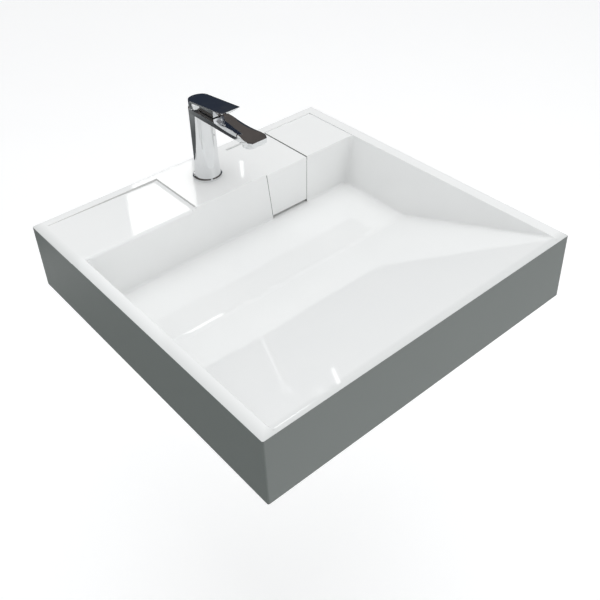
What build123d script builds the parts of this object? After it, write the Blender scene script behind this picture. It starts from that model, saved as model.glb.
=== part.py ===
from build123d import *
import os
from math import atan, cos, degrees, hypot, radians, sin, tan

# A square cast washbasin for a wall, with a sloping floor, a lift-off cover over the waste and a
# single-lever mixer tap. Millimetres. The origin is on the back face, midway between the two wall
# bolts: X runs to the user's right, Y into the wall and Z up.

# Basin casting
width = 600.0
depth = 600.0
height = 120.0
rim_z = height / 2
base_z = -height / 2
side_rim = 20.0
front_land = 6.5
back_rim = 18.0
deck_depth = 138.5
deck_y = -deck_depth
floor_depth = 95.0
floor_z = rim_z - floor_depth
ramp_foot_y = -296.0
side_draft = 11.7
deck_draft = 3.0
skirt = 14.0
shell = 12.0
deck_slab = 15.0
back_wall = 20.0
corner_round = 3.0
base_round = 2.8
arris = 1.2
bowl_corner = 8.0
bowl_crease = 60.0
bowl_foot = 4.5
front_roll = 22.0
bolt_spacing = 400.0
bolt_radius = 7.0

# Shelves in the deck, each side of the tap platform
platform_left = -72.2
left_step_width = 1.6
left_step_drop = 2.7
left_strip = 6.5
left_dip_inner = 3.4
left_dip_outer = 0.8
left_back_rim = 15.5
shelf_lip = 4.5
right_dip = 2.0

# Drain pocket and its lift-off cover
pocket_left = 75.0
pocket_right = 169.0
pocket_x = (pocket_left + pocket_right) / 2
pocket_taper = 6.0
ledge = 5.0
cover_gap = 1.2
cover_dip = 2.8
cover_plate = 6.0
cover_panel = 7.0
cover_bottom_z = base_z + 31.0
drain_y = -78.0
drain_hole = 23.0
drain_boss = 40.0
drain_boss_z = floor_z - 16.0
flange_recess = 32.5
flange_recess_depth = 3.5
grid_top_z = floor_z - 0.4
grid_radius = 31.5
grid_collar = 22.2
gasket_height = 3.0
waste_flange = 33.0
waste_cup = 25.0
waste_radius = 20.95
waste_bore = 17.5
waste_end_z = base_z - 50.0
screw_radius = 3.0
screw_head = 5.5

# Mixer tap
tap_y = -68.0
tap_hole = 17.5
ring_y = tap_y - 1.0
ring_radius = 25.7
ring_height = 5.6
seal_inner = 19.5
seal_outer = 23.0
seal_height = 2.0
column_y = tap_y - 2.0
column_radius = 21.2
column_foot_radius = 23.0
head_half = 18.3
neck_radius = 20.3
cheek_low_z = rim_z + 46.0
nose_length = 7.5
nose_corner = 4.5
facet_y = -173.0
facet_width = 6.0
facet_tilt = 22.0
facet_curve = 290.0
spout_bottom = rim_z + 121.0
spout_top = rim_z + 133.5
spout_tip_y = -229.0
aerator_y = -204.0
aerator_radius = 12.0
aerator_collar = 12.8
aerator_low_z = spout_bottom - 7.0
aerator_lip_z = aerator_low_z + 1.2
insert_radius = 10.4
washer_z = spout_top - 6.5
bore_radius = 13.0
bore_floor = rim_z + 94.0
channel_z = spout_top - 5.0
spigot_radius = 16.8
spigot_bottom = rim_z - 8.0
recess_radius = 14.4
recess_z = rim_z + 3.0
inlet_x = 7.5
inlet_y = tap_y - 3.0
inlet_radius = 4.5
inlet_depth = 14.0
stud_y = tap_y + 9.5
stud_radius = 4.0
stud_grip = 18.0
stud_end_z = rim_z - 45.0
rubber_plate = 3.0
steel_plate = 2.0
nut_height = 10.0

# Cartridge and lever
pivot_z = rim_z + 116.0
lean = 10.0
disc_z = bore_floor + 4.5
housing_radius = 12.4
housing_top_z = rim_z + 126.0
port_offset = 6.2
port_y = tap_y - 1.0
port_radius = 2.1
outlet_y = tap_y - 7.0
outlet_radius = 2.6
disc_height = 3.0
disc_radius = 10.5
slider_radius = 8.5
port_seal_lip = 1.1
port_seal_height = 1.5
housing_bore = 10.6
neck_bore = 8.4
carrier_z = disc_z + 5.8
rotor_z = disc_z + 11.0
pin_radius = 1.5
spindle_half = 3.5
spindle_length = 27.0
spindle_ball = 9.0
ball_radius = 1.9
slider_y = tap_y + spindle_ball * sin(radians(lean))
screw_z = rim_z + 141.8
set_screw_radius = 2.5
plug_y = -118.0
plug_radius = 3.5
lever_half = 18.0
lever_tip_y = -158.5
lever_slope = 0.109
lever_back_z = rim_z + 146.7
lever_wall = 2.1
lever_gap = 1.4
lever_corner = 1.8
blade_tip = 0.9
blade_taper = 0.029
keel_half = 6.0
keel_drop = 2.4
hub_front_y = -121.0
hub_slant = 3.0
hub_neck_half = 10.5
hub_inner_y = -108.0
hub_cut = 22.0


def box(low, high):
    """A block between two opposite corners."""
    size = [high[i] - low[i] for i in range(3)]
    middle = [(high[i] + low[i]) / 2 for i in range(3)]
    return Pos(*middle) * Box(*size)


def post(x, y, low, high, radius):
    """An upright round bar."""
    return Pos(x, y, (low + high) / 2) * Cylinder(radius, high - low)


def ring(x, y, low, high, outer, inner):
    """An upright round tube."""
    return post(x, y, low, high, outer) - post(x, y, low - 1, high + 1, inner)


def rod_y(x, z, low, high, radius):
    """A round bar lying along Y."""
    return Pos(x, (low + high) / 2, z) * Rot(90, 0, 0) * Cylinder(radius, high - low)


def rod_x(y, z, low, high, radius):
    """A round bar lying along X."""
    return Pos((low + high) / 2, y, z) * Rot(0, 90, 0) * Cylinder(radius, high - low)


def prism_x(points, low, high):
    """A side profile of (y, z) points drawn out along X."""
    face = make_face(Plane.YZ.offset(low) * Polyline(*points, close=True))
    return extrude(face, amount=high - low)


def prism_y(points, low, high):
    """A front profile of (x, z) points drawn out along Y."""
    face = make_face(Plane.XZ.offset(-high) * Polyline(*points, close=True))
    return extrude(face, amount=high - low)


def turned(x, y, profile):
    """A (radius, height) profile turned about an upright axis."""
    face = make_face(Plane.XZ * Polyline(*profile, close=True))
    return Pos(x, y, 0) * revolve(face, Axis.Z)


def write(name, shape):
    """Save one piece under its node name."""
    export_step(shape, "parts/" + name + ".step")
    print(name, round(shape.volume))


def deck_face(z):
    """Where the drafted front face of the deck lies at a height."""
    return deck_y - deck_draft * (rim_z - z) / floor_depth


def bowl_space(grow):
    """The room inside the bowl; with grow, the outside of its shell."""
    top = rim_z + shell
    bottom = floor_z - grow
    slope = floor_depth / (ramp_foot_y - front_land + depth)
    front_y = front_land - depth
    drop = grow * hypot(1, slope)

    def ramp_y(z):
        return front_y + (rim_z - drop - z) / slope

    side = [
        (ramp_y(top), top),
        (ramp_y(bottom), bottom),
        (deck_face(bottom) + grow, bottom),
        (deck_face(top) + grow, top),
    ]
    spread = tan(radians(side_draft))

    def half(z):
        return width / 2 - side_rim - (rim_z - z) * spread + grow

    front = [(-half(top), top), (-half(bottom), bottom), (half(bottom), bottom), (half(top), top)]
    room = prism_x(side, -width, width) & prism_y(front, -2 * depth, depth)
    corners = [e for e in room.edges() if e.center().Y > deck_y - 20 and e.bounding_box().size.Z > 60]
    room = fillet(corners, bowl_corner + grow)
    crease = [e for e in room.edges() if abs(e.center().Y - ramp_y(bottom)) < 1 and e.center().Z < 0
              and abs(e.center().X) < 1]
    room = fillet(crease, bowl_crease)
    back_y = deck_face(bottom) + grow
    foot = [e for e in room.edges() if e.center().Z < top - 1 and not is_seam(e, back_y)]
    return fillet(foot, bowl_foot + grow / 2)


def is_seam(edge, back_y):
    """True for an edge of the bowl room that runs across the floor or up a corner."""
    span = edge.bounding_box().size
    across = span.X > 100 and edge.center().Y < back_y - 30
    upright = span.Z > 40 and span.Y < 30
    return across or upright


def front_edge_waste():
    """The sliver above the soft roll that joins the front land to the ramp."""
    front_y = front_land - depth
    angle = atan(floor_depth / (ramp_foot_y - front_y))
    reach = front_roll * tan(angle / 2)
    land_point = (front_y - reach, rim_z)
    corner_point = (front_y, rim_z)
    ramp_point = (front_y + reach * cos(angle), rim_z - reach * sin(angle))
    mid_point = (land_point[0] + front_roll * sin(angle / 2), rim_z - front_roll * (1 - cos(angle / 2)))
    place = Plane.YZ.offset(side_rim - width / 2)
    outline = [*Polyline(land_point, corner_point, ramp_point).edges(),
               *ThreePointArc(ramp_point, mid_point, land_point).edges()]
    return extrude(place * make_face(outline), amount=width - 2 * side_rim)


def left_shelf():
    """The soap shelf: a dip that deepens towards the tap, with a steep step at its right and back."""
    top = rim_z + 1
    outer = -width / 2 + side_rim
    inner = platform_left
    step_x = inner - left_step_width
    strip_x = step_x - left_strip
    dip = prism_y([(outer, rim_z - left_dip_outer), (strip_x, rim_z - left_dip_inner),
                   (step_x, rim_z - left_step_drop), (inner, rim_z), (inner, top), (outer, top)],
                  deck_y - 10, 0)
    fall = left_step_drop / left_step_width
    low = rim_z - 6
    dip &= prism_x([(deck_y - 10, top), (deck_y - 10, low), (-left_back_rim - 6 / fall, low),
                    (-left_back_rim, rim_z), (-left_back_rim, top)], outer, inner)
    length = strip_x - outer
    tilt = degrees(atan((left_dip_inner - left_dip_outer) / length))
    lip_z = rim_z - (left_dip_inner + left_dip_outer) / 2
    return dip + Pos(outer + length / 2, deck_y, lip_z) * Rot(0, tilt, 0) * round_over(length, shelf_lip)


def round_over(length, radius):
    """The waste between a square edge along X, facing -Y and up, and its rounding."""
    waste = box((-length / 2, -radius, -radius), (length / 2, radius, radius))
    return waste - rod_x(radius, -radius, -length, length, radius)


def pocket_room():
    """The drain pocket: a mouth for the cover, and a narrower chamber behind and below its ledges."""
    half = (pocket_right - pocket_left) / 2
    ledge_z = rim_z - cover_dip - cover_plate
    fall = pocket_taper / (rim_z - cover_dip - cover_bottom_z)

    def sides(inset, low, high):
        reach = [half - inset - (rim_z - z) * fall for z in (high, low)]
        return [(pocket_x - reach[0], high), (pocket_x - reach[1], low),
                (pocket_x + reach[1], low), (pocket_x + reach[0], high)]

    top = rim_z + 2
    mouth_back = deck_y + cover_panel + 2.5
    mouth = prism_y(sides(0, floor_z, top), deck_y - 30, mouth_back)
    seat = box((pocket_left, deck_y - 5, ledge_z), (pocket_right, -back_rim, top))
    chamber = prism_y(sides(ledge, floor_z, top), deck_y - 5, -back_rim - ledge)
    uprights = [e for e in chamber.edges() if e.center().Y > -30 and e.bounding_box().size.Z > 60]
    return mouth + seat + fillet(uprights, 6)


def is_mouth(edge):
    """True for a top edge of the bowl along its sides, its back corners and the deck."""
    middle = edge.center()
    inside = abs(middle.X) < width / 2 - side_rim + 1
    return inside and front_land - depth + 1 < middle.Y < deck_y + 1


def make_basin():
    """One casting: square skirt, bowl with a ramp floor, deck, drain pocket and hollow underside."""
    half = width / 2
    body = box((-half, -depth, base_z), (half, 0, rim_z))
    body = fillet(body.edges().filter_by(Axis.Z), corner_round)
    body = fillet(body.faces().sort_by(Axis.Z)[0].edges(), base_round)
    body = fillet(body.faces().sort_by(Axis.Z)[-1].edges(), arris)
    under = box((skirt - half, skirt - depth, base_z - 1), (half - skirt, -back_wall, rim_z - deck_slab))
    under -= bowl_space(shell)
    under -= box((pocket_left - 7, deck_y - 20, base_z + 13), (pocket_right + 7, 1, rim_z))
    under -= post(pocket_x, drain_y, drain_boss_z, rim_z, drain_boss)
    body -= under
    body -= bowl_space(0)
    top_edges = [e for e in body.edges() if abs(e.center().Z - rim_z) < 0.01]
    body = fillet([e for e in top_edges if is_mouth(e)], arris)
    body -= front_edge_waste()
    body -= left_shelf()
    body -= box((pocket_right, deck_y - 10, rim_z - right_dip), (half - side_rim, -back_rim, rim_z + 1))
    body -= pocket_room()
    body -= post(pocket_x, drain_y, floor_z - flange_recess_depth, floor_z + 1, flange_recess)
    body -= post(pocket_x, drain_y, base_z, floor_z, drain_hole)
    body -= post(0, tap_y, 0, rim_z + 1, tap_hole)
    for x in (-bolt_spacing / 2, bolt_spacing / 2):
        body -= rod_y(x, 0, -back_wall - 1, 1, bolt_radius)
    return body


def make_cover():
    """The lift-off cover: a top plate on the pocket's ledges and a front panel flush with the deck."""
    top = rim_z - cover_dip
    plate_z = top - cover_plate
    half = (pocket_right - pocket_left) / 2 - cover_gap
    fall = pocket_taper / (top - cover_bottom_z)
    front = [(pocket_x - half, top), (pocket_x - half + fall * (top - cover_bottom_z), cover_bottom_z),
             (pocket_x + half - fall * (top - cover_bottom_z), cover_bottom_z), (pocket_x + half, top)]
    side = [(deck_face(top), top), (deck_face(cover_bottom_z), cover_bottom_z),
            (deck_face(cover_bottom_z) + cover_panel, cover_bottom_z),
            (deck_face(plate_z) + cover_panel, plate_z),
            (-back_rim - cover_gap, plate_z), (-back_rim - cover_gap, top)]
    cover = prism_x(side, pocket_left, pocket_right) & prism_y(front, -depth, 0)
    arris = [e for e in cover.edges() if abs(e.center().Z - top) < 0.1]
    return fillet(arris, 1.0)


def make_strainer_grid():
    """The pressed waste grid: a flange in the pocket floor, a collar in the hole and a holed middle."""
    sheet = 2.0
    collar_depth = 9.0
    hole = 3.0
    under = grid_top_z - sheet
    grid = turned(pocket_x, drain_y, [
        (0, under), (grid_collar - 0.8, under), (grid_collar - 0.8, grid_top_z - collar_depth),
        (grid_collar, grid_top_z - collar_depth), (grid_collar, under), (grid_radius, under),
        (grid_radius, grid_top_z - 1), (grid_radius - 2, grid_top_z), (0, grid_top_z)])
    for radius, count in ((16.5, 12), (9.8, 6)):
        for turn in range(count):
            angle = radians(360 / count * turn)
            x = pocket_x + radius * cos(angle)
            y = drain_y + radius * sin(angle)
            grid -= post(x, y, under - 1, grid_top_z + 1, hole)
    return grid - strainer_screw_shape()


def strainer_screw_shape():
    """A countersunk waste screw, without its slot."""
    end = grid_top_z - 34
    neck = grid_top_z - (screw_head - screw_radius)
    return turned(pocket_x, drain_y, [(0, grid_top_z), (screw_head, grid_top_z), (screw_radius, neck),
                                      (screw_radius, end), (0, end)])


def make_strainer_screw():
    """The screw that pulls the grid and the waste body together through the floor."""
    half_slot = 0.7
    depth_of_slot = 1.3
    slot = box((pocket_x - screw_head - 1, drain_y - half_slot, grid_top_z - depth_of_slot),
               (pocket_x + screw_head + 1, drain_y + half_slot, grid_top_z + 1))
    return strainer_screw_shape() - slot


def make_waste_body():
    """The plastic waste body: clamp flange, cup with a bridge for the screw, and a 1 1/4 inch tail."""
    top = drain_boss_z - gasket_height
    wall = 4.5
    cup_bore = waste_cup - wall
    body = turned(pocket_x, drain_y, [
        (cup_bore, top), (waste_flange, top), (waste_flange, top - 3), (waste_cup, top - 5),
        (waste_cup, top - 22), (waste_radius, top - 30), (waste_radius, waste_end_z),
        (waste_bore, waste_end_z), (waste_bore, top - 33), (cup_bore, top - 27)])
    bridge_top = top - 6
    bridge_low = top - 16
    bridge_half = cup_bore + 1
    bridge = box((pocket_x - bridge_half, drain_y - 3, bridge_low),
                 (pocket_x + bridge_half, drain_y + 3, bridge_top))
    bridge += post(pocket_x, drain_y, bridge_low, bridge_top, 2 * screw_radius)
    return body + bridge - post(pocket_x, drain_y, bridge_low - 1, bridge_top + 1, screw_radius)


def make_spout(crease_z):
    """The flat spout: chamfered below up to its side crease, blunt in front, a facet along each side."""
    plan = Polyline((-head_half, column_y), (-head_half, spout_tip_y + nose_length),
                    (nose_corner - head_half, spout_tip_y), (head_half - nose_corner, spout_tip_y),
                    (head_half, spout_tip_y + nose_length), (head_half, column_y), close=True)
    spout = extrude(Pos(0, 0, spout_bottom) * make_face(plan), amount=spout_top - spout_bottom)
    keel = [e for e in spout.edges() if e.center().Z < spout_bottom + 0.1 and e.center().Y < column_y - 1]
    spout = chamfer(keel, crease_z - spout_bottom - 0.5)
    nose_y = spout_tip_y + nose_length
    nose = [e for e in spout.edges() if e.center().Z > spout_top - 0.1 and e.center().Y < nose_y]
    spout = chamfer(nose, 1.2)
    for side in (-1, 1):
        spout -= facet_room(side)
    return spout


def facet_room(side):
    """The room over a lens-shaped facet: a long shallow hollow that leans out to its side."""
    reach = 30.0
    overlap = 3.0
    barrel = Rot(0, 90, 0) * Cylinder(facet_curve, reach)
    barrel = Pos(side * (reach / 2 - overlap), 0, facet_curve) * barrel
    return Pos(side * (head_half - facet_width), facet_y, spout_top) * Rot(0, side * facet_tilt, 0) * barrel


def make_tap_body():
    """The cast mixer body: a round column with flat cheeks, and a flat spout, drilled for water."""
    foot_z = rim_z + ring_height
    waist_z = rim_z + 32
    crease_z = spout_bottom + 4.5
    foot = Pos(0, ring_y, foot_z) * Circle(column_foot_radius)
    waist = Pos(0, column_y, waist_z) * Circle(column_radius)
    neck = Pos(0, column_y, crease_z) * Circle(neck_radius)
    column = loft([foot, waist]) + loft([waist, neck])
    column += post(0, column_y, crease_z, spout_top, neck_radius)
    flare = (column_radius - head_half) / (crease_z - cheek_low_z)
    low_half = head_half + (crease_z - foot_z) * flare
    cheeks = [(-low_half, foot_z), (low_half, foot_z), (head_half, crease_z), (head_half, spout_top),
              (-head_half, spout_top), (-head_half, crease_z)]
    column &= prism_y(cheeks, -depth, 0)
    body = column + make_spout(crease_z) + post(0, tap_y, spigot_bottom, foot_z + 4, spigot_radius)
    body -= post(0, tap_y, bore_floor, spout_top + 1, bore_radius)
    body -= waterways()
    body -= post(0, tap_y, spigot_bottom - 1, recess_z, recess_radius)
    for side in (-1, 1):
        body -= post(side * inlet_x, inlet_y, recess_z - 1, recess_z + inlet_depth, inlet_radius)
        body -= post(side * port_offset, port_y, recess_z + inlet_depth - 1, bore_floor + 1, port_radius)
    return body - post(0, stud_y, recess_z - 1, recess_z + stud_grip, stud_radius)


def waterways():
    """The mixed water's way: a sump under the outlet port, a riser, the spout's channel and its mouth."""
    sump_z = bore_floor - 5
    riser_front = tap_y - 17
    half = 4.0
    ways = box((-half, riser_front, sump_z), (half, outlet_y + 2, bore_floor + 1))
    ways += box((-half, riser_front, sump_z), (half, tap_y - 12, channel_z))
    ways += box((-9, aerator_y, channel_z - 4.5), (9, tap_y - 14, channel_z))
    return ways + post(0, aerator_y, spout_bottom - 1, channel_z, aerator_radius)


def make_base_ring():
    """The bevelled ring under the column, grooved underneath for its seal."""
    inner = spigot_radius + 0.1
    groove_z = rim_z + seal_height
    profile = [(inner, rim_z), (seal_inner, rim_z), (seal_inner, groove_z), (seal_outer, groove_z),
               (seal_outer, rim_z), (ring_radius, rim_z), (ring_radius, rim_z + ring_height - 2),
               (ring_radius - 2, rim_z + ring_height), (inner, rim_z + ring_height)]
    return turned(0, tap_y, profile)


def horseshoe(low, high, outer):
    """A C-shaped clamping plate that leaves the hoses' way open at the front, holed for the stud."""
    plate = post(0, tap_y, low, high, outer)
    plate -= box((-14.5, tap_y - 40, low - 1), (14.5, stud_y - stud_radius - 1, high + 1))
    return plate - post(0, stud_y, low - 1, high + 1, stud_radius)


def make_nut():
    """The long hexagon nut on the mounting stud."""
    high = rim_z - deck_slab - rubber_plate - steel_plate
    low = high - nut_height
    hexagon = extrude(Pos(0, stud_y, low) * RegularPolygon(6.5, 6, major_radius=False), amount=nut_height)
    return hexagon - post(0, stud_y, low - 1, high + 1, stud_radius)


def port_holes(low, high):
    """The cartridge's two inlet ports and its outlet port, as drills."""
    holes = post(0, outlet_y, low, high, outlet_radius)
    for side in (-1, 1):
        holes += post(side * port_offset, port_y, low, high, port_radius)
    return holes


def port_seats(low, high, lip):
    """Round seats for the port seals, at a lip's width round each port."""
    seats = [post(0, outlet_y, low, high, outlet_radius + lip)]
    for side in (-1, 1):
        seats.append(post(side * port_offset, port_y, low, high, port_radius + lip))
    return seats


def make_cartridge_seals():
    """Three rings that seal the cartridge's ports on the floor of the bore."""
    seats = port_seats(bore_floor, bore_floor + port_seal_height, port_seal_lip)
    holes = port_seats(bore_floor - 1, bore_floor + port_seal_height + 1, 0.1)
    return Compound(children=[seat - hole for seat, hole in zip(seats, holes)])


def make_cartridge_base():
    """The ported plastic base of the cartridge, with pockets for its seals."""
    low = bore_floor + 0.3
    base = post(0, tap_y, low, disc_z, housing_radius) - port_holes(low - 1, disc_z + 1)
    for seat in port_seats(low - 1, bore_floor + port_seal_height, port_seal_lip):
        base -= seat
    return base


def make_fixed_disc():
    """The ceramic disc that stays put, with the three ports through it."""
    top = disc_z + disc_height
    return post(0, tap_y, disc_z, top, disc_radius) - port_holes(disc_z - 1, top + 1)


def make_moving_disc():
    """The ceramic disc that turns and slides over the ports, hollowed underneath to mix the water."""
    low = disc_z + disc_height
    disc = post(0, slider_y, low, carrier_z, slider_radius)
    return disc - box((-5, slider_y - 3, low - 1), (5, slider_y + 3.5, low + 1.4))


def make_disc_carrier():
    """The plastic carrier on the moving disc, with a pocket for the end of the spindle."""
    carrier = post(0, slider_y, carrier_z, rotor_z - 0.3, slider_radius)
    half = ball_radius + 0.25
    pocket = box((-half, slider_y - half, carrier_z + 0.6), (half, slider_y + half, rotor_z + 1))
    return carrier - pocket


def make_cartridge_housing():
    """The plastic barrel of the cartridge, with a shoulder that keeps the rotor in."""
    shoulder_z = housing_top_z - 5
    return turned(0, tap_y, [
        (housing_bore, disc_z), (housing_radius, disc_z), (housing_radius, housing_top_z),
        (neck_bore, housing_top_z), (neck_bore, shoulder_z), (housing_bore, shoulder_z)])


def make_rotor():
    """The cartridge's turning piece: slotted for the spindle and drilled for its pin."""
    wide = housing_bore - 0.08
    narrow = neck_bore - 0.1
    shoulder_z = housing_top_z - 5.2
    top = housing_top_z + 1.5
    rotor = turned(0, tap_y, [(0, rotor_z), (wide, rotor_z), (wide, shoulder_z), (narrow, shoulder_z),
                              (narrow, top), (0, top)])
    half = spindle_half + 0.2
    rotor -= box((-half, tap_y - 6.3, rotor_z - 1), (half, tap_y + 6.3, top + 1))
    return rotor - rod_x(tap_y, pivot_z, -housing_bore, housing_bore, pin_radius)


def make_spindle():
    """The steel spindle that the lever turns and tilts: square above its pin, a ball below."""
    bar = box((-spindle_half, -spindle_half, -4.5), (spindle_half, spindle_half, spindle_length))
    bar -= rod_x(0, 0, -10, 10, pin_radius + 0.06)
    bar += post(0, 0, -spindle_ball, -4, 1.3) + Pos(0, 0, -spindle_ball) * Sphere(ball_radius)
    return Pos(0, tap_y, pivot_z) * Rot(lean, 0, 0) * bar


def make_cartridge_nut():
    """The threaded brass nut that holds the cartridge down, with two key slots."""
    nut = ring(0, tap_y, housing_top_z, spout_top - 0.8, bore_radius, 9)
    return nut - box((-20, tap_y - 1.5, spout_top - 3.5), (20, tap_y + 1.5, spout_top))


def make_dome_ring():
    """The chromed cap ring over the cartridge nut, under the lever."""
    inner = 9.2
    outer = 15.0
    top = spout_top + 3
    return turned(0, tap_y, [(inner, spout_top), (outer, spout_top), (outer, spout_top + 1),
                             (outer - 1, top - 0.7), (outer - 3, top), (inner, top)])


def lever_top(y):
    """Height of the lever's flat top, which rises towards its tip."""
    return lever_back_z + lever_slope * (tap_y + lever_half - y)


def d_plan(half, front_y, low, high):
    """An upright block with a round back about the tap's axis and a square front."""
    return post(0, tap_y, low, high, half) + box((-half, front_y, low), (half, tap_y, high))


def blade_section(y):
    """The blade's cross-section at a place along it: flat above, thin at its sides and keeled below."""
    top = lever_top(y)
    flank = top - blade_tip - blade_taper * (y - lever_tip_y)
    keel = flank - keel_drop
    points = ((-lever_half, top), (lever_half, top), (lever_half, flank), (keel_half, keel),
              (-keel_half, keel), (-lever_half, flank))
    return make_face(Plane.XZ.offset(-y) * Polyline(*points, close=True))


def hub_side(inset):
    """The hub's side profile: a slanted front, a flat foot and a back cut up to clear the tilt."""
    back = tap_y + lever_half + 1
    hub_z = spout_top + lever_gap
    front_y = hub_front_y + inset
    rise_y = tap_y - 1
    cover = 1.0
    return [
        (front_y - hub_slant, lever_top(front_y - hub_slant) - cover),
        (front_y, hub_z),
        (rise_y, hub_z),
        (back, hub_z + (back - rise_y) * tan(radians(hub_cut))),
        (back, lever_top(back) - cover),
    ]


def under_lever_top(front, back, low, thickness):
    """The space under the lever's sloping top, from one end to the other, down to a level."""
    return prism_x([(front, low), (back, low), (back, lever_top(back) - thickness),
                    (front, lever_top(front) - thickness)], -2 * lever_half, 2 * lever_half)


def make_lever():
    """The cast lever: a keeled blade, a hollow round hub with a neck, a square socket, a screw boss."""
    low = spout_top
    high = lever_top(lever_tip_y) + 5
    plan = d_plan(lever_half, lever_tip_y, low, high)
    corners = [e for e in plan.edges().filter_by(Axis.Z) if e.center().Y < lever_tip_y + 1]
    plan = fillet(corners, lever_corner)
    back = tap_y + lever_half + 1
    blade = loft([blade_section(lever_tip_y - 1), blade_section(back)], ruled=True) & plan
    hub = post(0, tap_y, low, high, lever_half)
    hub += box((-hub_neck_half, hub_front_y - hub_slant, low), (hub_neck_half, tap_y, high))
    lever = blade + (hub & prism_x(hub_side(0), -2 * lever_half, 2 * lever_half))
    room = post(0, tap_y, low - 1, high, lever_half - lever_wall)
    neck_room = hub_neck_half - lever_wall
    room += box((-neck_room, hub_inner_y, low - 1), (neck_room, tap_y, high))
    lever -= room & under_lever_top(hub_inner_y - 5, back + 4, low - 1, 3)
    socket_place = Pos(0, tap_y, pivot_z) * Rot(lean, 0, 0)
    boss = socket_place * post(0, 0, 23.5, 33, 6.5)
    boss += box((-4.5, hub_inner_y - 1, screw_z - 3.8), (4.5, tap_y - 6, screw_z + 10))
    lever += boss & under_lever_top(hub_inner_y - 5, back, low, 1)
    lever -= socket_place * box((-spindle_half, -spindle_half, 20),
                                (spindle_half, spindle_half, spindle_length + 0.3))
    lever -= rod_y(0, screw_z, hub_front_y - 20, tap_y - 5, set_screw_radius)
    return lever - rod_y(0, screw_z, hub_front_y - 20, plug_y, plug_radius)


def make_set_screw():
    """The socket screw that clamps the lever on the spindle."""
    lean_back = tan(radians(lean)) * (screw_z - pivot_z)
    face = tap_y - lean_back - spindle_half / cos(radians(lean)) - 0.5
    screw = rod_y(0, screw_z, face - 8, face, set_screw_radius)
    return screw - rod_y(0, screw_z, face - 9, face - 5, 1.2)


def make_indicator_plug():
    """The plug over the set screw's hole, flush with the hub's slanted front."""
    plug = rod_y(0, screw_z, hub_front_y - 20, plug_y, plug_radius)
    return plug & prism_x(hub_side(0.6), -10, 10)


def make_aerator_housing():
    """The screwed ring of the aerator, whose collar hangs below the spout."""
    low = aerator_low_z
    seat_z = spout_bottom - 0.2
    return turned(0, aerator_y, [
        (9.6, low), (aerator_collar - 1, low), (aerator_collar, low + 1), (aerator_collar, seat_z),
        (aerator_radius, seat_z), (aerator_radius, washer_z), (insert_radius, washer_z),
        (insert_radius, aerator_lip_z), (9.6, aerator_lip_z)])


def make_aerator_insert():
    """The plastic jet insert inside the aerator: a holed plate over a ring of ribs."""
    low = aerator_lip_z
    top = washer_z - 0.6
    plate_z = top - 1.5
    insert = ring(0, aerator_y, low, top, insert_radius, 8.8)
    insert += post(0, aerator_y, plate_z, top, 9.5)
    for turn in range(12):
        angle = radians(30 * turn)
        insert -= post(7 * cos(angle), aerator_y + 7 * sin(angle), plate_z - 1, top + 1, 0.7)
    for turn in range(3):
        web = box((-9.4, -0.4, low), (9.4, 0.4, plate_z))
        insert += Pos(0, aerator_y, 0) * Rot(0, 0, 60 * turn) * web
    return insert


os.makedirs("parts", exist_ok=True)
write("basin", make_basin())
write("drain_cover", make_cover())
write("strainer_grid", make_strainer_grid())
write("strainer_screw", make_strainer_screw())
recess_floor = floor_z - flange_recess_depth
write("upper_waste_gasket", ring(pocket_x, drain_y, recess_floor, recess_floor + 1.1, 31, drain_hole + 0.5))
clamp_top = drain_boss_z - gasket_height
write("lower_waste_gasket",
      ring(pocket_x, drain_y, clamp_top, drain_boss_z, waste_flange, drain_hole + 0.5))
write("waste_body", make_waste_body())
write("tap_body", make_tap_body())
write("base_ring", make_base_ring())
write("base_seal", ring(0, tap_y, rim_z, rim_z + seal_height, seal_outer, seal_inner))
write("mounting_stud", post(0, stud_y, stud_end_z, recess_z + stud_grip, stud_radius))
slab_z = rim_z - deck_slab
write("rubber_horseshoe", horseshoe(slab_z - rubber_plate, slab_z, 24))
write("steel_horseshoe", horseshoe(slab_z - rubber_plate - steel_plate, slab_z - rubber_plate, 23.5))
write("mounting_nut", make_nut())
write("cartridge_seals", make_cartridge_seals())
write("cartridge_base", make_cartridge_base())
write("fixed_disc", make_fixed_disc())
write("moving_disc", make_moving_disc())
write("disc_carrier", make_disc_carrier())
write("cartridge_housing", make_cartridge_housing())
write("cartridge_rotor", make_rotor())
write("spindle", make_spindle())
write("spindle_pin", rod_x(tap_y, pivot_z, 0.3 - housing_bore, housing_bore - 0.3, pin_radius))
write("cartridge_nut", make_cartridge_nut())
write("dome_ring", make_dome_ring())
write("lever", make_lever())
write("lever_set_screw", make_set_screw())
write("indicator_plug", make_indicator_plug())
write("aerator_housing", make_aerator_housing())
write("aerator_insert", make_aerator_insert())
write("aerator_washer", ring(0, aerator_y, washer_z, channel_z, aerator_radius, 8))
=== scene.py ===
import math

import bmesh
import bpy
from mathutils import Matrix, Vector

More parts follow.
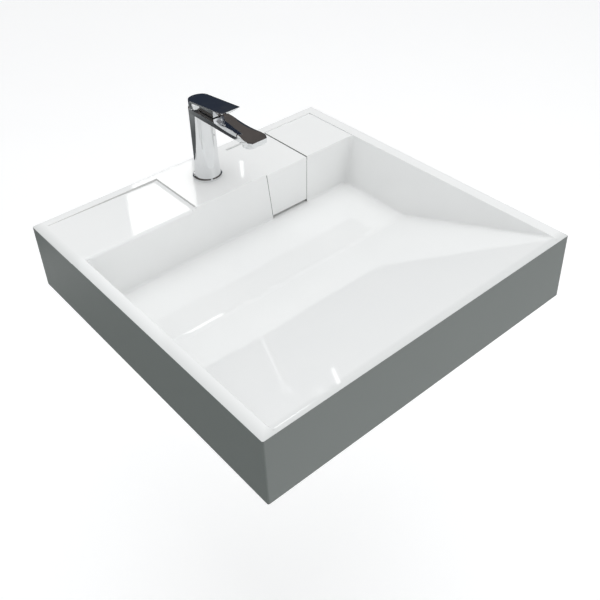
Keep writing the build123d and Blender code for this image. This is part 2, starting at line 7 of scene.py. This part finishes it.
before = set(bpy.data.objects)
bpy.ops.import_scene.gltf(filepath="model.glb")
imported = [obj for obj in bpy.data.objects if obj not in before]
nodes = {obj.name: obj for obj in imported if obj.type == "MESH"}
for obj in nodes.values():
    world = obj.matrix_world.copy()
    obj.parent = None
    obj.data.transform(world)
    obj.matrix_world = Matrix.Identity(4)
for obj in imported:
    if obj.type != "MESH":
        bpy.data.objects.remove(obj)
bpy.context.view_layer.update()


# The basin is cast in one piece from mineral filler and resin, with a white gel coat that is ground and
# polished, but for the joint around its cover and its shelf's step, which stay matt. The front and the two
# sides are sprayed a satin grey, and the back and the underside stay raw. Painted shade darkens the white
# top along its left and front edges, in the joint around the cover and on the shelf's step.
class Number:
    """A number or a colour that a finish works out at each point, and that takes part in sums."""

    def __init__(self, finish, socket):
        self.finish = finish
        self.socket = socket

    def combine(self, operation, first, second):
        return self.finish.node("ShaderNodeMath", {"operation": operation}, {0: first, 1: second})

    def __add__(self, other):
        return self.combine("ADD", self, other)

    __radd__ = __add__

    def __sub__(self, other):
        return self.combine("SUBTRACT", self, other)

    def __rsub__(self, other):
        return self.combine("SUBTRACT", other, self)

    def __mul__(self, other):
        return self.combine("MULTIPLY", self, other)

    __rmul__ = __mul__

    def __gt__(self, other):
        return self.combine("GREATER_THAN", self, other)

    def __lt__(self, other):
        return self.combine("LESS_THAN", self, other)

    def above(self, other):
        return self.combine("MAXIMUM", self, other)

    def root(self):
        return self.combine("POWER", self, 0.5)

    def size(self):
        return self.combine("ABSOLUTE", self, 0.0)

    def sine(self):
        return self.combine("SINE", self, 0.0)

    def along(self, start, end):
        """0 up to one value, 1 from another, and even in between."""
        inputs = {"Value": self, "From Min": start, "From Max": end}
        return self.finish.node("ShaderNodeMapRange", inputs=inputs)


class Finish:
    """A material, or the world, with one shader, and the calls that add nodes to it."""

    def __init__(self, name, shader="ShaderNodeBsdfPrincipled", stock=bpy.data.materials, end="Material"):
        self.block = stock.new(name)
        self.block.use_nodes = True
        self.tree = self.block.node_tree
        self.tree.nodes.clear()
        surface = self.tree.nodes.new("ShaderNodeOutput" + end).inputs["Surface"]
        self.shader = self.tree.nodes.new(shader)
        self.tree.links.new(self.shader.outputs[0], surface)
        self.place = self.node("ShaderNodeTexCoord", output="Object")

    def feed(self, socket, value):
        if isinstance(value, Number):
            self.tree.links.new(value.socket, socket)
        else:
            socket.default_value = value

    def node(self, kind, settings=None, inputs=None, output=0):
        made = self.tree.nodes.new(kind)
        for name, value in (settings or {}).items():
            setattr(made, name, value)
        for name, value in (inputs or {}).items():
            self.feed(made.inputs[name], value)
        return Number(self, made.outputs[output])

    def set(self, **sockets):
        for name, value in sockets.items():
            self.feed(self.shader.inputs[name.replace("_", " ")], value)

    def axes(self, vector):
        return [self.node("ShaderNodeSeparateXYZ", inputs={0: vector}, output=axis) for axis in range(3)]

    def grain(self, scale, detail=3.0, roughness=0.5, vector=None):
        """Noise from 0 to 1, with about this many grains to the metre."""
        inputs = {"Vector": vector or self.place, "Scale": scale, "Detail": detail, "Roughness": roughness}
        return self.node("ShaderNodeTexNoise", inputs=inputs)

    def mix(self, factor, first, second):
        """One colour where the factor is 0, and another where it is 1, by the Mix node's colour sockets."""
        colours = [colour if isinstance(colour, Number) else (*colour, 1.0) for colour in (first, second)]
        inputs = {0: factor, 6: colours[0], 7: colours[1]}
        return self.node("ShaderNodeMix", {"data_type": "RGBA"}, inputs, output=2)

    def bump(self, height, depth, normal=None):
        inputs = {"Height": height, "Distance": depth, "Strength": 1.0}
        if normal:
            inputs["Normal"] = normal
        return self.node("ShaderNodeBump", inputs=inputs)

    def soft_edges(self, radius):
        """The normal that an edge has when its sharp corner is rounded off."""
        return self.node("ShaderNodeBevel", {"samples": 6}, {"Radius": radius})


def dress(finish, *names):
    """Gives CAD nodes their finish."""
    for name in names:
        for material_slot in nodes[name].material_slots:
            material_slot.material = finish.block


gel_coat = Finish("gel coat")
half_width = 0.3
full_depth = 0.6
outline_round = 0.003
spray_edge = 0.0027
foot_edge_drop = 0.0024
foot_top = -0.05
painted_rim_shade_reach = 0.018
side_x, side_y, side_z = gel_coat.axes(gel_coat.place)
past_x = (side_x.size() - (half_width - outline_round)).above(0.0)
past_y = (side_y * -1.0 - (full_depth - outline_round)).above(0.0)
past_outline = (past_x * past_x + past_y * past_y).root()
foot = side_z < foot_top
sprayed = past_outline > (spray_edge - foot * foot_edge_drop)
# Painted shade: the white top is painted darker along its left and front edges.
past_left_or_front = (side_x * -1.0 - half_width).above(side_y * -1.0 - full_depth)
painted_rim_shade = past_left_or_front.along(-painted_rim_shade_reach, 0.0)
tone = gel_coat.grain(9.0, 2.0)
polished_white = gel_coat.mix(tone, (0.880, 0.890, 0.887), (0.912, 0.917, 0.910))
white_with_painted_rim_shade = gel_coat.mix(painted_rim_shade, polished_white, (0.725, 0.74, 0.733))
fleck = gel_coat.grain(900.0, 2.0)
spray_grey = gel_coat.mix(fleck, (0.140, 0.158, 0.150), (0.175, 0.195, 0.186))

facing_down = -0.3
square_on = 0.9
raw_top = 0.05
normal_x, normal_y, normal_z = gel_coat.axes(gel_coat.node("ShaderNodeTexCoord", output="Normal"))
raw = (normal_z < facing_down).above(normal_y > square_on) * (side_z < raw_top)
raw = raw * (1.0 - sprayed)
raw_cast = gel_coat.mix(gel_coat.grain(120.0, 5.0, 0.7), (0.66, 0.66, 0.63), (0.78, 0.78, 0.755))
coat_colour = gel_coat.mix(raw, gel_coat.mix(sprayed, white_with_painted_rim_shade, spray_grey), raw_cast)

# Painted shadow: the gel coat is painted dark grey in the joint between the cover and its pocket.
cover_x = 0.122
joint_reach = 0.052
joint_front = -0.142
mouth_back = -0.129
ledge_z = 0.050
beside_cover = ((side_x - cover_x).size() < joint_reach) * (side_y > joint_front)
at_mouth_or_ledge = (side_y < mouth_back).above(side_z > ledge_z)
joint_painted_shadow = beside_cover * (normal_x.size() > square_on) * at_mouth_or_ledge

# Painted shade: the shelf's step is painted grey where shade falls in it.
shelf_right = -0.0715
shelf_front = -0.134
step_foot = 0.056
step_top = 0.0597
steepest = 0.2
on_shelf = (side_x < shelf_right) * (side_y > shelf_front) * (side_z < step_top) * (side_z > step_foot)
shelf_step_painted_shade = on_shelf * (normal_z < square_on) * (normal_z > steepest)
coat_colour = gel_coat.mix(shelf_step_painted_shade, coat_colour, (0.60, 0.60, 0.59))
coat_colour = gel_coat.mix(joint_painted_shadow, coat_colour, (0.36, 0.36, 0.35))

spray_roughness = 0.42
unpolished_roughness = 0.5
matt = sprayed * spray_roughness + (raw + joint_painted_shadow + shelf_step_painted_shade) * unpolished_roughness
gel_coat.set(Base_Color=coat_colour, Roughness=0.03 + tone * 0.03 + matt, IOR=1.5)
peel_depth = 0.00006
orange_peel = gel_coat.grain(70.0, 2.0) * (0.35 + sprayed * 0.4) + fleck * sprayed * 0.2
raw_grit = raw * gel_coat.grain(500.0, 5.0) * 2.0
gel_coat.set(Normal=gel_coat.bump(orange_peel + raw_grit, peel_depth))
dress(gel_coat, "basin")


# Under the basin's waste hole a plastic waste body is drawn up against the casting by one steel screw
# through the pressed strainer grid, with a rubber gasket on each side of the floor. Its tail is threaded.
steel_edge = 0.0003
scratch_depth = 0.00003
stainless = Finish("stainless steel")
brushed = stainless.node("ShaderNodeMapping", inputs={"Vector": stainless.place, "Scale": (1.0, 12.0, 12.0)})
brushing = stainless.grain(260.0, 4.0, 0.7, brushed)
stainless.set(Base_Color=stainless.mix(brushing, (0.56, 0.56, 0.57), (0.67, 0.67, 0.67)), Metallic=1.0)
stainless.set(Roughness=0.22 + 0.14 * brushing)
stainless.set(Normal=stainless.bump(brushing, scratch_depth, stainless.soft_edges(steel_edge)))
dress(stainless, "strainer_grid", "strainer_screw")

rubber_edge = 0.0004
rubber_grit = 0.00004
rubber = Finish("black rubber")
bloom = rubber.grain(45.0, 4.0, 0.6)
rubber.set(Base_Color=rubber.mix(bloom.along(0.4, 0.75), (0.022, 0.022, 0.023), (0.062, 0.061, 0.060)))
rubber.set(Roughness=0.62 + 0.2 * bloom)
rubber.set(Normal=rubber.bump(rubber.grain(1400.0, 3.0), rubber_grit, rubber.soft_edges(rubber_edge)))
dress(rubber, "upper_waste_gasket", "lower_waste_gasket")


def threading(height, pitch):
    """The ridges of a thread round an upright bar."""
    return (height * (2 * math.pi / pitch)).sine()


waste_edge = 0.0005
waste_pitch = 0.00231
waste_thread_depth = 0.0005
tail_top = -0.072
waste_plastic = Finish("white waste plastic")
waste_z = waste_plastic.axes(waste_plastic.place)[2]
flow = waste_plastic.grain(35.0, 3.0)
waste_plastic.set(Base_Color=waste_plastic.mix(flow, (0.80, 0.80, 0.785), (0.865, 0.862, 0.85)))
waste_plastic.set(Roughness=0.26 + 0.14 * waste_plastic.grain(300.0, 3.0))
tail_thread = threading(waste_z, waste_pitch) * (waste_z < tail_top)
rounded_plastic = waste_plastic.soft_edges(waste_edge)
waste_plastic.set(Normal=waste_plastic.bump(tail_thread, waste_thread_depth, rounded_plastic))
dress(waste_plastic, "waste_body")


# The cover over the waste is cast and polished like the basin. It rests on two ledges of the pocket, and
# its front panel hangs down flush with the deck to leave a slot for the water.
dress(gel_coat, "drain_cover")


# The mixer stands on a bevelled ring over the tap hole. Its body is cast brass, polished and chrome-plated,
# so flat faces keep a very slight wave and the polishing wheel has softened every edge.
chrome_edge = 0.0005
wave_depth = 0.0003
chrome = Finish("chrome")
polish_wave = chrome.grain(28.0, 2.0)
chrome.set(Base_Color=chrome.mix(chrome.grain(60.0), (0.79, 0.80, 0.81), (0.83, 0.84, 0.845)))
chrome.set(Metallic=1.0, Roughness=0.035 + 0.03 * chrome.grain(220.0, 4.0))
chrome.set(Normal=chrome.bump(polish_wave, wave_depth, chrome.soft_edges(chrome_edge)))
dress(chrome, "tap_body", "base_ring")
dress(rubber, "base_seal")


# Below the deck a threaded stud, a brass nut and a C-shaped pair of plates, steel under rubber, pull the
# mixer down on its seal. The stud and the steel plate are zinc-plated, and the nut is turned from bar.
dull_zinc = (0.52, 0.53, 0.55)
bright_zinc = (0.66, 0.67, 0.68)
stud_pitch = 0.00125
stud_thread_depth = 0.00035
zinc = Finish("zinc-plated steel")
zinc_z = zinc.axes(zinc.place)[2]
spangle = zinc.grain(180.0, 5.0, 0.65)
zinc.set(Base_Color=zinc.mix(spangle, dull_zinc, bright_zinc), Metallic=1.0)
zinc.set(Roughness=0.28 + 0.22 * spangle)
zinc.set(Normal=zinc.bump(threading(zinc_z, stud_pitch), stud_thread_depth, zinc.soft_edges(steel_edge)))
dress(zinc, "mounting_stud")

spangle_depth = 0.00005
plate_steel = Finish("plated plate")
plate_spangle = plate_steel.grain(180.0, 5.0, 0.65)
plate_steel.set(Base_Color=plate_steel.mix(plate_spangle, dull_zinc, bright_zinc), Metallic=1.0)
plate_steel.set(Roughness=0.3 + 0.2 * plate_spangle)
plate_steel.set(Normal=plate_steel.bump(plate_spangle, spangle_depth, plate_steel.soft_edges(steel_edge)))
dress(plate_steel, "steel_horseshoe")
dress(rubber, "rubber_horseshoe")

brass_edge = 0.0003
turning_depth = 0.00004
brass = Finish("turned brass")
tool_marks = brass.node("ShaderNodeMapping", inputs={"Vector": brass.place, "Scale": (3.0, 3.0, 40.0)})
turning = brass.grain(120.0, 3.0, 0.6, tool_marks)
brass.set(Base_Color=brass.mix(turning, (0.66, 0.48, 0.22), (0.78, 0.60, 0.32)), Metallic=1.0)
brass.set(Roughness=0.22 + 0.16 * turning)
brass.set(Normal=brass.bump(turning, turning_depth, brass.soft_edges(brass_edge)))
dress(brass, "mounting_nut")


# The cartridge sits in the head's bore: a ported base on three seals, two lapped ceramic discs, a carrier
# that slides the upper disc, and a barrel with the rotor and the steel spindle that the lever works.
moulded_edge = 0.0004
mould_grit = 0.00003
moulded = Finish("cartridge plastic")
mould_flow = moulded.grain(60.0, 3.0)
moulded.set(Base_Color=moulded.mix(mould_flow, (0.78, 0.775, 0.75), (0.85, 0.85, 0.835)))
moulded.set(Roughness=0.42 + 0.15 * moulded.grain(500.0, 3.0))
moulded.set(Normal=moulded.bump(moulded.grain(900.0, 3.0), mould_grit, moulded.soft_edges(moulded_edge)))
dress(moulded, "cartridge_base", "disc_carrier", "cartridge_housing", "cartridge_rotor")

ceramic_edge = 0.0002
lapping_depth = 0.00001
ceramic = Finish("lapped ceramic")
ceramic_tone = ceramic.grain(80.0, 4.0)
ceramic.set(Base_Color=ceramic.mix(ceramic_tone, (0.86, 0.85, 0.81), (0.93, 0.92, 0.89)))
ceramic.set(Roughness=0.12 + 0.1 * ceramic.grain(700.0, 4.0))
ceramic.set(Normal=ceramic.bump(ceramic.grain(1600.0, 3.0), lapping_depth, ceramic.soft_edges(ceramic_edge)))
dress(ceramic, "fixed_disc", "moving_disc")
dress(rubber, "cartridge_seals")
dress(stainless, "spindle", "spindle_pin")
dress(brass, "cartridge_nut")
dress(chrome, "dome_ring")


# The lever is cast and chromed like the body. A socket screw in its neck clamps it on the spindle, behind
# a small glossy grey plug.
dress(chrome, "lever")
dress(stainless, "lever_set_screw")
plug_edge = 0.0003
plug_grit = 0.00002
plug_gloss = Finish("grey plug")
plug_tone = plug_gloss.grain(300.0, 3.0)
plug_gloss.set(Base_Color=plug_gloss.mix(plug_tone, (0.56, 0.56, 0.58), (0.64, 0.64, 0.66)))
plug_gloss.set(Roughness=0.16 + 0.08 * plug_tone)
plug_gloss.set(Normal=plug_gloss.bump(plug_tone, plug_grit, plug_gloss.soft_edges(plug_edge)))
dress(plug_gloss, "indicator_plug")


# The outlet is screwed up into the spout: a chromed collar holds a moulded grey insert that softens the
# stream, and a rubber washer above it seals it against the casting.
dress(chrome, "aerator_housing")
jet_edge = 0.0002
jet_grit = 0.00003
jets = Finish("jet plastic")
jet_tone = jets.grain(250.0, 3.0)
jets.set(Base_Color=jets.mix(jet_tone, (0.71, 0.73, 0.745), (0.79, 0.81, 0.815)))
jets.set(Roughness=0.4 + 0.15 * jet_tone)
jets.set(Normal=jets.bump(jet_tone, jet_grit, jets.soft_edges(jet_edge)))
dress(jets, "aerator_insert")
dress(rubber, "aerator_washer")


# The studio has a pale painted floor, as far down as it is from a basin on a wall, and a white surround.
# What makes both of them fully white is a glow that only the camera and reflections see.
floor_z = -0.86
floor_half = 14.0
floor_glow = 0.22


def shown_white(finish):
    """1 for rays that come from the camera, a mirror or glass, and 0 for the light itself."""
    rays = [finish.node("ShaderNodeLightPath", output=kind)
            for kind in ("Is Camera Ray", "Is Glossy Ray", "Is Transmission Ray")]
    return rays[0].above(rays[1]).above(rays[2])


def finished(mesh, name, finish):
    """Turns a worked mesh into an object with its finish."""
    data = bpy.data.meshes.new(name)
    mesh.to_mesh(data)
    mesh.free()
    data.materials.append(finish.block)
    made = bpy.data.objects.new(name, data)
    bpy.context.scene.collection.objects.link(made)
    return made


floor_paint = Finish("floor paint")
floor_tone = floor_paint.mix(floor_paint.grain(3.0), (0.93, 0.93, 0.93), (0.95, 0.95, 0.95))
floor_paint.set(Base_Color=floor_tone, Roughness=0.9)
floor_paint.set(Emission_Color=(1.0, 1.0, 1.0, 1.0))
floor_paint.set(Emission_Strength=shown_white(floor_paint) * floor_glow)
floor_mesh = bmesh.new()
bmesh.ops.create_grid(floor_mesh, x_segments=1, y_segments=1, size=floor_half,
                      matrix=Matrix.Translation((0, 0, floor_z)))
finished(floor_mesh, "floor", floor_paint)

surround_light = 0.74
surround = Finish("studio", "ShaderNodeBackground", bpy.data.worlds, "World")
surround.set(Color=(0.98, 0.99, 1.0, 1.0))
surround.set(Strength=surround_light + shown_white(surround) * (1.0 - surround_light))
bpy.context.scene.world = surround.block


# What reflections alone show, which gives the metal and the polish their depth: dark cloth over and behind
# the basin, a grey drape low down, a rug on the floor, a bright window with a narrow pane beside it, and
# a pale card for the sides of the spout.
def mirrored(mesh, name, finish):
    """A stage piece that is seen in reflections alone."""
    made = finished(mesh, name, finish)
    made.visible_camera = False
    made.visible_diffuse = False
    made.visible_shadow = False
    made.visible_transmission = False


def flat_pane(middle, width, depth, tilt=0.0):
    """A flat rectangle about a point, lying down or tilted up about its width."""
    pane = bmesh.new()
    bmesh.ops.create_grid(pane, x_segments=1, y_segments=1, size=1.0)
    turn = Matrix.Rotation(math.radians(tilt), 4, "X")
    reach = Matrix.Diagonal((width / 2, depth / 2, 1, 1))
    bmesh.ops.transform(pane, matrix=Matrix.Translation(middle) @ turn @ reach, verts=pane.verts)
    return pane


def upright_pane(y, left, right, low, high):
    """A flat upright rectangle, facing along the basin's depth."""
    return flat_pane(((left + right) / 2, y, (low + high) / 2), right - left, high - low, 90)


cloth = Finish("dark cloth", "ShaderNodeEmission")
cloth_height = cloth.axes(cloth.place)[2]
blotch = cloth.grain(1.1, 3.0, 0.6).along(0.35, 0.65)
cool_dark = cloth.mix(blotch, (0.020, 0.028, 0.048), (0.045, 0.050, 0.060))
warm_dark = cloth.mix(blotch, (0.052, 0.052, 0.052), (0.125, 0.108, 0.100))
cloth.set(Color=cloth.mix(cloth_height.along(1.9, 2.5), cool_dark, warm_dark), Strength=1.0)
canopy_radius = 6.0
canopy_foot = 0.1
canopy = bmesh.new()
bmesh.ops.create_uvsphere(canopy, u_segments=48, v_segments=24, radius=canopy_radius)
bmesh.ops.bisect_plane(canopy, geom=canopy.verts[:] + canopy.edges[:] + canopy.faces[:],
                       plane_co=(0, 0, canopy_foot), plane_no=(0, 0, -1), clear_outer=True)
mirrored(canopy, "canopy", cloth)
mirrored(upright_pane(y=0.46, left=-0.8, right=2.4, low=-0.30, high=0.25), "curtain", cloth)

drape = Finish("grey drape", "ShaderNodeEmission")
drape_x, _, drape_z = drape.axes(drape.place)
drape_fold = drape_x.along(-0.41, -0.36)
drape_grey = drape.mix(drape_fold, (0.055, 0.059, 0.062), (0.098, 0.104, 0.107))
drape_pale = drape_z.along(-0.148, -0.105) * drape_fold
drape.set(Color=drape.mix(drape_pale, drape_grey, (0.21, 0.22, 0.22)), Strength=1.0)
mirrored(upright_pane(y=0.45, left=-0.8, right=0.1, low=-0.30, high=-0.07), "drape", drape)

rug_lift = 0.01
rug = Finish("dark rug", "ShaderNodeEmission")
rug.set(Color=rug.mix(rug.grain(3.0, 3.0), (0.14, 0.148, 0.145), (0.19, 0.2, 0.196)), Strength=1.0)
mirrored(flat_pane((-1.15, -0.35, floor_z + rug_lift), width=1.6, depth=2.7), "rug", rug)

sky = Finish("window sky", "ShaderNodeEmission")
sky.set(Color=sky.mix(sky.grain(7.0, 3.0), (2.9, 3.0, 3.1), (4.3, 4.2, 4.0)), Strength=1.0)
mirrored(upright_pane(y=2.2, left=0.955, right=1.32, low=1.543, high=1.95), "window", sky)
mirrored(upright_pane(y=0.3, left=0.323, right=0.333, low=0.325, high=0.372), "narrow_pane", sky)

pale_card = Finish("pale card", "ShaderNodeEmission")
pale_card.set(Color=pale_card.mix(pale_card.grain(9.0), (0.66, 0.69, 0.70), (0.84, 0.86, 0.86)), Strength=1.0)
mirrored(upright_pane(y=0.4, left=-0.09, right=0.09, low=0.46, high=1.3), "card", pale_card)


# Two soft lamps light the basin: a broad one overhead, which no polished surface mirrors, and one in front
# of the basin to its right.
def area_lamp(name, place, target, width, height, brightness, mirrored_too=True):
    """A soft rectangular lamp, as bright as a white surface of this strength."""
    data = bpy.data.lights.new(name, "AREA")
    data.shape = "RECTANGLE"
    data.size = width
    data.size_y = height
    data.energy = brightness * math.pi * width * height
    lamp = bpy.data.objects.new(name, data)
    lamp.location = place
    lamp.rotation_euler = (Vector(target) - Vector(place)).to_track_quat("-Z", "Y").to_euler()
    bpy.context.scene.collection.objects.link(lamp)
    lamp.visible_glossy = mirrored_too


middle = (0, -0.3, 0)
area_lamp("overhead", (0.3, -0.3, 2.4), middle, width=2.8, height=2.4, brightness=1.05, mirrored_too=False)
area_lamp("front", (0.9, -3.2, 1.3), middle, width=1.6, height=1.2, brightness=1.0)


# The camera stands in front of the basin, to its left and above it, where the photograph was taken.
# The basin's own corners in the picture give its place and its turn.
photo_place = (-0.66325, -1.13347, 0.81972)
photo_turn = (53.817, 2.037, -40.550)
camera_data = bpy.data.cameras.new("camera")
camera_data.sensor_width = 36.0
camera_data.lens = 49.83
camera_data.shift_y = -0.1
camera = bpy.data.objects.new("camera", camera_data)
camera.location = photo_place
camera.rotation_euler = [math.radians(turn) for turn in photo_turn]
bpy.context.scene.collection.objects.link(camera)
bpy.context.scene.camera = camera
bpy.context.scene.view_settings.view_transform = "Standard"
